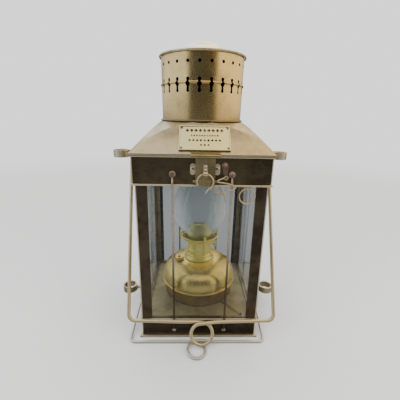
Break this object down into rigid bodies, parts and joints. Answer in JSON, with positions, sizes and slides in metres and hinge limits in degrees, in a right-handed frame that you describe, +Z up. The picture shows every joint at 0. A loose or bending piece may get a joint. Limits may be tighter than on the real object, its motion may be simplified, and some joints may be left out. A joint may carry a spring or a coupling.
{
  "type": "ship lantern",
  "caption": "Square brass ship lantern with glass panes, hinged hood with round vented chimney, oil lamp inside, hoisting bail, downhaul bail and side guide eyes.",
  "frame": {"origin": "centre of the flat underside of the base", "axes": "+Z up through the chimney; the face with the hasp and nameplate looks along -Y; +X to the right of it"},
  "size_m": [0.296, 0.2527, 0.4647],
  "materials": {
    "bronze": "darkened satin brass",
    "lug_brass": "pale worn brass",
    "hood_brass": "antique satin brass",
    "plate_brass": "bright yellow brass",
    "wire_brass": "pale rubbed brass wire",
    "hasp_brass": "olive antique brass",
    "lamp_brass": "polished yellow brass",
    "pane_glass": "clear",
    "globe_glass": "clear blown",
    "wick_cotton": "woven cotton"
  },
  "bodies": {
    "lantern_body": {"base_tray": "bronze", "base_flange": "bronze", "floor_plate": "bronze", "corner_posts": "bronze", "pane_front": "pane_glass", "pane_right": "pane_glass", "pane_rear": "pane_glass", "pane_left": "pane_glass", "glass_corner_strips": "bronze", "pane_head_rail": "bronze", "top_band": "bronze", "band_bead": "bronze", "band_rim": "bronze", "guard_rods": "bronze", "band_screws": "bronze", "body_rivets": "bronze", "upper_lug_left": "lug_brass", "upper_lug_right": "lug_brass", "lower_lug_left": "lug_brass", "lower_lug_right": "lug_brass", "side_eyes": "bronze", "chain_tag": "bronze", "pull_ring_staple": "lug_brass", "hinge_leaf_body": "bronze", "hinge_pin": "bronze", "font_foot": "lamp_brass", "font_body": "lamp_brass", "font_collar": "lamp_brass", "burner_body": "lamp_brass", "gallery": "lamp_brass", "gallery_prongs": "lamp_brass", "burner_cone": "lamp_brass", "wick_tube": "lamp_brass", "glass_globe": "globe_glass", "lamp_straps": "lamp_brass"},
    "hood": {"hood_shell": "hood_brass", "hood_lip": "hood_brass", "chimney_collar": "hood_brass", "chimney_tube": "hood_brass", "cap_rim": "hood_brass", "chimney_cap": "hood_brass", "smoke_baffle": "hood_brass", "nameplate": "plate_brass", "hood_rivets": "hood_brass", "hinge_leaf_hood": "hood_brass", "hasp_leaf": "hood_brass", "hasp_hinge_pin": "hood_brass"},
    "upper_bail": {"upper_bail": "wire_brass"},
    "lower_bail": {"lower_bail": "wire_brass"},
    "hasp": {"hasp_plate": "hasp_brass", "hasp_keeper": "hasp_brass"},
    "hasp_ring": {"hasp_ring": "wire_brass"},
    "clasp_pin": {"hair_pin": "wire_brass", "safety_chain": "wire_brass"},
    "pull_ring": {"pull_ring": "wire_brass"},
    "wick_drive": {"wick_spindle": "lamp_brass", "wick_knob": "lamp_brass"},
    "wick": {"wick": "wick_cotton"},
    "filler_cap": {"filler_cap": "lamp_brass"}
  },
  "joints": [
    {"name": "upper_bail_swing", "type": "hinge", "parent": "lantern_body", "child": "upper_bail", "pos_m": [0, 0, 0.295], "axis": [-1, 0, 0], "range_deg": [0, 314]},
    {"name": "lower_bail_swing", "type": "hinge", "parent": "lantern_body", "child": "lower_bail", "pos_m": [0, 0, 0.03], "axis": [1, 0, 0], "range_deg": [0, 151]},
    {"name": "hood_hinge", "type": "hinge", "parent": "lantern_body", "child": "hood", "pos_m": [0, 0.1046, 0.3058], "axis": [-1, 0, 0], "range_deg": [0, 100]},
    {"name": "hasp_swing", "type": "hinge", "parent": "hood", "child": "hasp", "pos_m": [0.004, -0.1044, 0.3065], "axis": [-1, 0, 0], "range_deg": [0, 120]},
    {"name": "hasp_ring_swing", "type": "hinge", "parent": "hasp", "child": "hasp_ring", "pos_m": [0.004, -0.1056, 0.2825], "axis": [-1, 0, 0], "range_deg": [0, 100]},
    {"name": "clasp_pin_swing", "type": "hinge", "parent": "lantern_body", "child": "clasp_pin", "pos_m": [0.033, -0.10107, 0.2765], "axis": [0, -1, 0], "range_deg": [-3, 15]},
    {"name": "pull_ring_swing", "type": "hinge", "parent": "lantern_body", "child": "pull_ring", "pos_m": [0.0645, -0.0976, 0.2605], "axis": [-1, 0, 0], "range_deg": [0, 90]},
    {"name": "wick_knob_turn", "type": "hinge", "parent": "lantern_body", "child": "wick_drive", "pos_m": [0.03, 0.0042, 0.124], "axis": [-1, 0, 0], "range_deg": [0, 180]},
    {"name": "wick_raise", "type": "slide", "parent": "lantern_body", "child": "wick", "axis": [0, 0, 1], "range_m": [0, 0.0081]},
    {"name": "filler_cap_turn", "type": "hinge", "parent": "lantern_body", "child": "filler_cap", "pos_m": [-0.037, -0.012, 0.103], "axis": [0, 0, 1], "continuous": true}
  ],
  "couplings": [
    {"joint": "wick_knob_turn", "follows": "wick_raise", "rad_per_m": 384.62}
  ]
}
